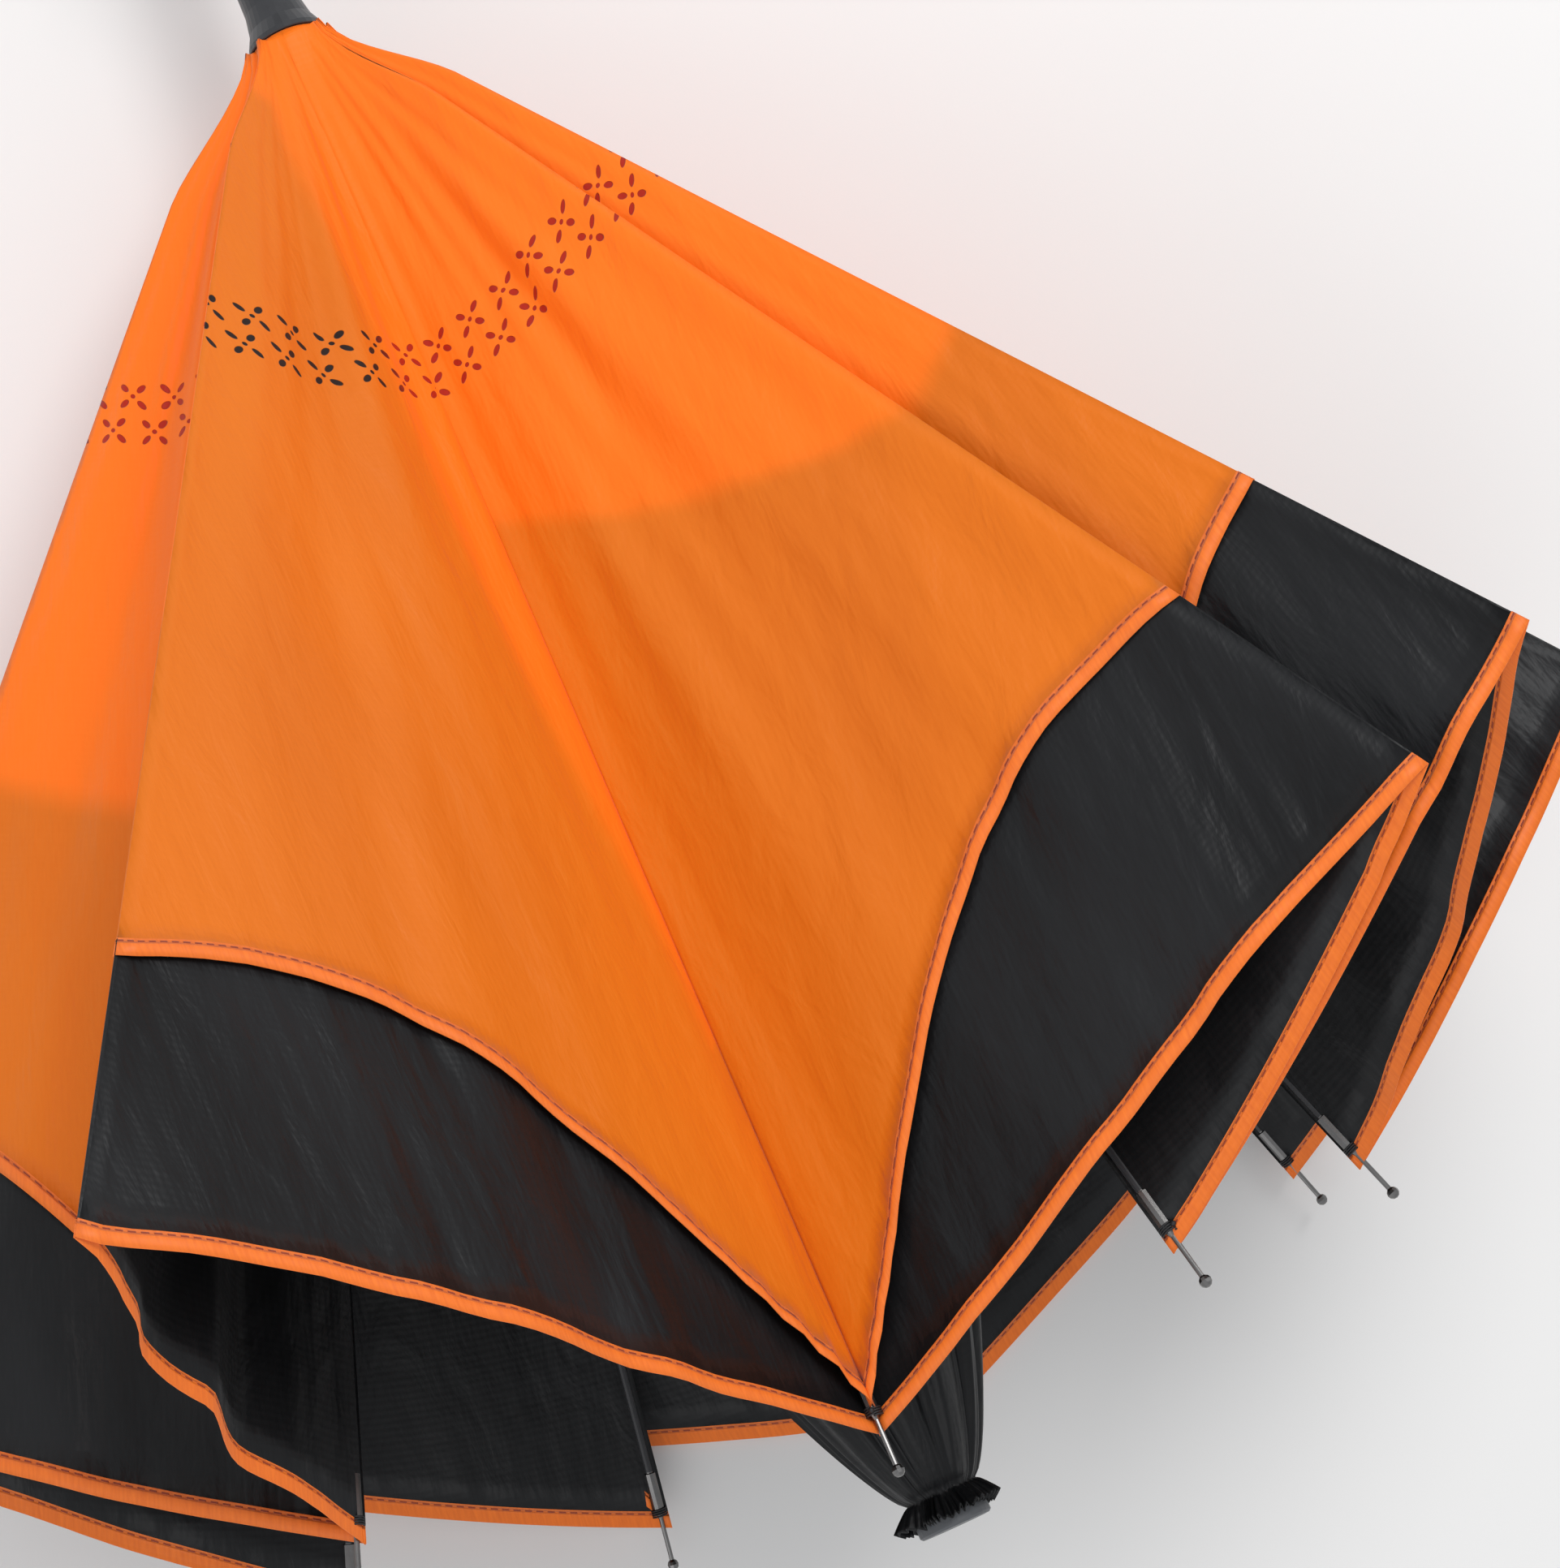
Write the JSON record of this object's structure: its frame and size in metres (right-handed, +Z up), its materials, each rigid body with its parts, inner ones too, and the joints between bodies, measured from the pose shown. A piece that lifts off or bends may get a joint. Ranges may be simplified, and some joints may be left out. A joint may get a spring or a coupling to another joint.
{
  "type": "umbrella",
  "caption": "Reverse-folding umbrella with an orange inner and a black outer canopy, loosely closed and lying on its side; its runner slides to the cap to open it.",
  "frame": {"origin": "centre of the footprint on the surface that the umbrella lies on", "axes": "+Z up, +X from the handle towards the cap, +Y sideways"},
  "size_m": [0.798, 0.6872, 0.3846],
  "materials": {
    "black_plastic": "satin",
    "lever_plastic": "gloss",
    "shaft_steel": "satin black",
    "rib_steel": "satin black",
    "wire_steel": "plain",
    "orange_cloth": "woven",
    "black_cloth": "woven"
  },
  "bodies": {
    "frame": {"shaft": "shaft_steel", "handle": "black_plastic", "top_hinge_ring": "black_plastic", "top_hinge_wire": "wire_steel", "top_cap": "black_plastic", "canopy_sleeve": "black_cloth"},
    "runner": {"runner": "black_plastic", "runner_hinge_ring": "black_plastic", "runner_hinge_wire": "wire_steel"},
    "lever": {"release_lever": "lever_plastic"},
    "rib_1": {"rib_1": "rib_steel"},
    "rib_2": {"rib_2": "rib_steel"},
    "rib_3": {"rib_3": "rib_steel"},
    "rib_4": {"rib_4": "rib_steel"},
    "rib_5": {"rib_5": "rib_steel"},
    "rib_6": {"rib_6": "rib_steel"},
    "rib_7": {"rib_7": "rib_steel"},
    "rib_8": {"rib_8": "rib_steel"},
    "stretcher_1": {"stretcher_1": "rib_steel"},
    "stretcher_2": {"stretcher_2": "rib_steel"},
    "stretcher_3": {"stretcher_3": "rib_steel"},
    "stretcher_4": {"stretcher_4": "rib_steel"},
    "stretcher_5": {"stretcher_5": "rib_steel"},
    "stretcher_6": {"stretcher_6": "rib_steel"},
    "stretcher_7": {"stretcher_7": "rib_steel"},
    "stretcher_8": {"stretcher_8": "rib_steel"},
    "gore_1_left": {"inner_gore_1_left": "orange_cloth", "outer_gore_1_left": "black_cloth"},
    "gore_1_right": {"inner_gore_1_right": "orange_cloth", "outer_gore_1_right": "black_cloth"},
    "gore_2_left": {"inner_gore_2_left": "orange_cloth", "outer_gore_2_left": "black_cloth"},
    "gore_2_right": {"inner_gore_2_right": "orange_cloth", "outer_gore_2_right": "black_cloth"},
    "gore_3_left": {"inner_gore_3_left": "orange_cloth", "outer_gore_3_left": "black_cloth"},
    "gore_3_right": {"inner_gore_3_right": "orange_cloth", "outer_gore_3_right": "black_cloth"},
    "gore_4_left": {"inner_gore_4_left": "orange_cloth", "outer_gore_4_left": "black_cloth"},
    "gore_4_right": {"inner_gore_4_right": "orange_cloth", "outer_gore_4_right": "black_cloth"},
    "gore_5_left": {"inner_gore_5_left": "orange_cloth", "outer_gore_5_left": "black_cloth"},
    "gore_5_right": {"inner_gore_5_right": "orange_cloth", "outer_gore_5_right": "black_cloth"},
    "gore_6_left": {"inner_gore_6_left": "orange_cloth", "outer_gore_6_left": "black_cloth"},
    "gore_6_right": {"inner_gore_6_right": "orange_cloth", "outer_gore_6_right": "black_cloth"},
    "gore_7_left": {"inner_gore_7_left": "orange_cloth", "outer_gore_7_left": "black_cloth"},
    "gore_7_right": {"inner_gore_7_right": "orange_cloth", "outer_gore_7_right": "black_cloth"},
    "gore_8_left": {"inner_gore_8_left": "orange_cloth", "outer_gore_8_left": "black_cloth"},
    "gore_8_right": {"inner_gore_8_right": "orange_cloth", "outer_gore_8_right": "black_cloth"}
  },
  "joints": [
    {"name": "runner_slide", "type": "slide", "parent": "frame", "child": "runner", "axis": [0.9911, 0, 0.1334], "range_m": [0, 0.51668], "deforming": ["canopy_sleeve"]},
    {"name": "release_lever_press", "type": "slide", "parent": "runner", "child": "lever", "axis": [0, 1, 0], "range_m": [0, 0.0015], "stiffness_N_per_m": 1500, "springref_m": -0.0005},
    {"name": "rib_1_hinge", "type": "hinge", "parent": "runner", "child": "rib_1", "pos_m": [-0.2027, 0.01594, 0.08616], "axis": [0.0248, -0.9826, -0.184], "range_deg": [0, 98.39]},
    {"name": "rib_2_hinge", "type": "hinge", "parent": "runner", "child": "rib_2", "pos_m": [-0.20247, 0.02418, 0.08446], "axis": [-0.0752, -0.8261, 0.5585], "range_deg": [0, 92.37]},
    {"name": "rib_3_hinge", "type": "hinge", "parent": "runner", "child": "rib_3", "pos_m": [-0.20153, 0.02879, 0.07748], "axis": [-0.1311, -0.1857, 0.9738], "range_deg": [0, 90.06]},
    {"name": "rib_4_hinge", "type": "hinge", "parent": "runner", "child": "rib_4", "pos_m": [-0.20043, 0.02707, 0.06931], "axis": [-0.1102, 0.5635, 0.8187], "range_deg": [0, 84.84]},
    {"name": "rib_5_hinge", "type": "hinge", "parent": "runner", "child": "rib_5", "pos_m": [-0.19982, 0.02003, 0.06474], "axis": [-0.0248, 0.9826, 0.184], "range_deg": [0, 93.37]},
    {"name": "rib_6_hinge", "type": "hinge", "parent": "runner", "child": "rib_6", "pos_m": [-0.20005, 0.01179, 0.06645], "axis": [0.0752, 0.8261, -0.5585], "range_deg": [0, 92.37]},
    {"name": "rib_7_hinge", "type": "hinge", "parent": "runner", "child": "rib_7", "pos_m": [-0.20099, 0.00718, 0.07343], "axis": [0.1311, 0.1857, -0.9738], "range_deg": [0, 87.35]},
    {"name": "rib_8_hinge", "type": "hinge", "parent": "runner", "child": "rib_8", "pos_m": [-0.20209, 0.0089, 0.0816], "axis": [0.1102, -0.5635, -0.8187], "range_deg": [0, 85.54]},
    {"name": "stretcher_1_hinge", "type": "hinge", "parent": "frame", "child": "stretcher_1", "pos_m": [0.3622, 0.01594, 0.16222], "axis": [-0.0248, 0.9826, 0.184], "range_deg": [0, 56.53]},
    {"name": "stretcher_2_hinge", "type": "hinge", "parent": "frame", "child": "stretcher_2", "pos_m": [0.36243, 0.02418, 0.16052], "axis": [0.0752, 0.8261, -0.5585], "range_deg": [0, 51.07]},
    {"name": "stretcher_3_hinge", "type": "hinge", "parent": "frame", "child": "stretcher_3", "pos_m": [0.36337, 0.02879, 0.15354], "axis": [0.1311, 0.1857, -0.9738], "range_deg": [0, 49.01]},
    {"name": "stretcher_4_hinge", "type": "hinge", "parent": "frame", "child": "stretcher_4", "pos_m": [0.36447, 0.02707, 0.14537], "axis": [0.1102, -0.5635, -0.8187], "range_deg": [0, 44.37]},
    {"name": "stretcher_5_hinge", "type": "hinge", "parent": "frame", "child": "stretcher_5", "pos_m": [0.36509, 0.02003, 0.1408], "axis": [0.0248, -0.9826, -0.184], "range_deg": [0, 51.98]},
    {"name": "stretcher_6_hinge", "type": "hinge", "parent": "frame", "child": "stretcher_6", "pos_m": [0.36486, 0.01179, 0.14251], "axis": [-0.0752, -0.8261, 0.5585], "range_deg": [0, 51.07]},
    {"name": "stretcher_7_hinge", "type": "hinge", "parent": "frame", "child": "stretcher_7", "pos_m": [0.36392, 0.00718, 0.14949], "axis": [-0.1311, -0.1857, 0.9738], "range_deg": [0, 46.59]},
    {"name": "stretcher_8_hinge", "type": "hinge", "parent": "frame", "child": "stretcher_8", "pos_m": [0.36282, 0.0089, 0.15765], "axis": [-0.1102, 0.5635, 0.8187], "range_deg": [0, 44.99]},
    {"name": "gore_1_left_fold", "type": "hinge", "parent": "rib_1", "child": "gore_1_left", "pos_m": [0.36272, -0.00119, 0.2538], "axis": [0.9561, -0.0305, 0.2914], "range_deg": [0, 43.96], "deforming": ["inner_gore_1_left", "outer_gore_1_left"]},
    {"name": "gore_1_right_fold", "type": "hinge", "parent": "rib_1", "child": "gore_1_right", "pos_m": [0.36272, -0.00119, 0.2538], "axis": [-0.9561, 0.0305, -0.2914], "range_deg": [0, 10.88], "deforming": ["inner_gore_1_right", "outer_gore_1_right"]},
    {"name": "gore_2_left_fold", "type": "hinge", "parent": "rib_2", "child": "gore_2_left", "pos_m": [0.3455, 0.11024, 0.28552], "axis": [0.9284, 0.1465, 0.3416], "range_deg": [0, 104.85], "deforming": ["inner_gore_2_left", "outer_gore_2_left"]},
    {"name": "gore_2_right_fold", "type": "hinge", "parent": "rib_2", "child": "gore_2_right", "pos_m": [0.3455, 0.11024, 0.28552], "axis": [-0.9284, -0.1465, -0.3416], "range_deg": [0, 54.2], "deforming": ["inner_gore_2_right", "outer_gore_2_right"]},
    {"name": "gore_3_left_fold", "type": "hinge", "parent": "rib_3", "child": "gore_3_left", "pos_m": [0.35239, 0.20119, 0.18493], "axis": [0.9393, 0.2909, 0.1819], "range_deg": [0, 37.18], "deforming": ["inner_gore_3_left", "outer_gore_3_left"]},
    {"name": "gore_3_right_fold", "type": "hinge", "parent": "rib_3", "child": "gore_3_right", "pos_m": [0.35239, 0.20119, 0.18493], "axis": [-0.9393, -0.2909, -0.1819], "range_deg": [0, 87.2], "deforming": ["inner_gore_3_right", "outer_gore_3_right"]},
    {"name": "gore_4_left_fold", "type": "hinge", "parent": "rib_4", "child": "gore_4_left", "pos_m": [0.35676, 0.21359, 0.01595], "axis": [0.9466, 0.3107, -0.0864], "range_deg": [0, 0.9797], "deforming": ["inner_gore_4_left", "outer_gore_4_left"]},
    {"name": "gore_4_right_fold", "type": "hinge", "parent": "rib_4", "child": "gore_4_right", "pos_m": [0.35676, 0.21359, 0.01595], "axis": [-0.9466, -0.3107, 0.0864], "range_deg": [0, 112.23], "deforming": ["inner_gore_4_right", "outer_gore_4_right"]},
    {"name": "gore_5_left_fold", "type": "hinge", "parent": "rib_5", "child": "gore_5_left", "pos_m": [0.38625, 0.04653, 0.00213], "axis": [0.9931, 0.0453, -0.1083], "range_deg": [0, 5.54], "deforming": ["inner_gore_5_left", "outer_gore_5_left"]},
    {"name": "gore_5_right_fold", "type": "hinge", "parent": "rib_5", "child": "gore_5_right", "pos_m": [0.38625, 0.04653, 0.00213], "axis": [0.9931, 0.0453, -0.1083], "range_deg": [0, 16.5], "deforming": ["inner_gore_5_right", "outer_gore_5_right"]},
    {"name": "gore_6_left_fold", "type": "hinge", "parent": "rib_6", "child": "gore_6_left", "pos_m": [0.38159, -0.07427, 0.01747], "axis": [0.9857, -0.1465, -0.0839], "range_deg": [0, 134.3], "deforming": ["inner_gore_6_left", "outer_gore_6_left"]},
    {"name": "gore_6_right_fold", "type": "hinge", "parent": "rib_6", "child": "gore_6_right", "pos_m": [0.38159, -0.07427, 0.01747], "axis": [-0.9857, 0.1465, 0.0839], "range_deg": [0, 17.75], "deforming": ["inner_gore_6_right", "outer_gore_6_right"]},
    {"name": "gore_7_left_fold", "type": "hinge", "parent": "rib_7", "child": "gore_7_left", "pos_m": [0.35347, -0.19111, 0.11028], "axis": [0.9411, -0.332, 0.0634], "range_deg": [0, 83.45], "deforming": ["inner_gore_7_left", "outer_gore_7_left"]},
    {"name": "gore_7_right_fold", "type": "hinge", "parent": "rib_7", "child": "gore_7_right", "pos_m": [0.35347, -0.19111, 0.11028], "axis": [-0.9411, 0.332, -0.0634], "range_deg": [0, 48.68], "deforming": ["inner_gore_7_right", "outer_gore_7_right"]},
    {"name": "gore_8_left_fold", "type": "hinge", "parent": "rib_8", "child": "gore_8_left", "pos_m": [0.32435, -0.17211, 0.27706], "axis": [0.895, -0.3019, 0.3283], "range_deg": [0, 35.36], "deforming": ["inner_gore_8_left", "outer_gore_8_left"]},
    {"name": "gore_8_right_fold", "type": "hinge", "parent": "rib_8", "child": "gore_8_right", "pos_m": [0.32435, -0.17211, 0.27706], "axis": [-0.895, 0.3019, -0.3283], "range_deg": [0, 50.26], "deforming": ["inner_gore_8_right", "outer_gore_8_right"]}
  ],
  "couplings": [
    {"joint": "rib_1_hinge", "follows": "runner_slide", "rad_per_m": 3.3104},
    {"joint": "rib_2_hinge", "follows": "runner_slide", "rad_per_m": 3.1077},
    {"joint": "rib_3_hinge", "follows": "runner_slide", "rad_per_m": 3.03},
    {"joint": "rib_4_hinge", "follows": "runner_slide", "rad_per_m": 2.8544},
    {"joint": "rib_5_hinge", "follows": "runner_slide", "rad_per_m": 3.1415},
    {"joint": "rib_6_hinge", "follows": "runner_slide", "rad_per_m": 3.1077},
    {"joint": "rib_7_hinge", "follows": "runner_slide", "rad_per_m": 2.9388},
    {"joint": "rib_8_hinge", "follows": "runner_slide", "rad_per_m": 2.878},
    {"joint": "stretcher_1_hinge", "follows": "runner_slide", "rad_per_m": 1.9019},
    {"joint": "stretcher_2_hinge", "follows": "runner_slide", "rad_per_m": 1.7184},
    {"joint": "stretcher_3_hinge", "follows": "runner_slide", "rad_per_m": 1.6488},
    {"joint": "stretcher_4_hinge", "follows": "runner_slide", "rad_per_m": 1.4928},
    {"joint": "stretcher_5_hinge", "follows": "runner_slide", "rad_per_m": 1.7488},
    {"joint": "stretcher_6_hinge", "follows": "runner_slide", "rad_per_m": 1.7184},
    {"joint": "stretcher_7_hinge", "follows": "runner_slide", "rad_per_m": 1.5676},
    {"joint": "stretcher_8_hinge", "follows": "runner_slide", "rad_per_m": 1.5137},
    {"joint": "gore_1_left_fold", "follows": "runner_slide", "rad_per_m": 1.4791},
    {"joint": "gore_1_right_fold", "follows": "runner_slide", "rad_per_m": 0.36612},
    {"joint": "gore_2_left_fold", "follows": "runner_slide", "rad_per_m": 3.5276},
    {"joint": "gore_2_right_fold", "follows": "runner_slide", "rad_per_m": 1.8235},
    {"joint": "gore_3_left_fold", "follows": "runner_slide", "rad_per_m": 1.2508},
    {"joint": "gore_3_right_fold", "follows": "runner_slide", "rad_per_m": 2.9339},
    {"joint": "gore_4_left_fold", "follows": "runner_slide", "rad_per_m": 0.032962},
    {"joint": "gore_4_right_fold", "follows": "runner_slide", "rad_per_m": 3.7761},
    {"joint": "gore_5_left_fold", "follows": "runner_slide", "rad_per_m": 0.18628},
    {"joint": "gore_5_right_fold", "follows": "runner_slide", "rad_per_m": 0.55515},
    {"joint": "gore_6_left_fold", "follows": "runner_slide", "rad_per_m": 4.5186},
    {"joint": "gore_6_right_fold", "follows": "runner_slide", "rad_per_m": 0.59726},
    {"joint": "gore_7_left_fold", "follows": "runner_slide", "rad_per_m": 2.8077},
    {"joint": "gore_7_right_fold", "follows": "runner_slide", "rad_per_m": 1.638},
    {"joint": "gore_8_left_fold", "follows": "runner_slide", "rad_per_m": 1.1896},
    {"joint": "gore_8_right_fold", "follows": "runner_slide", "rad_per_m": 1.6911}
  ]
}
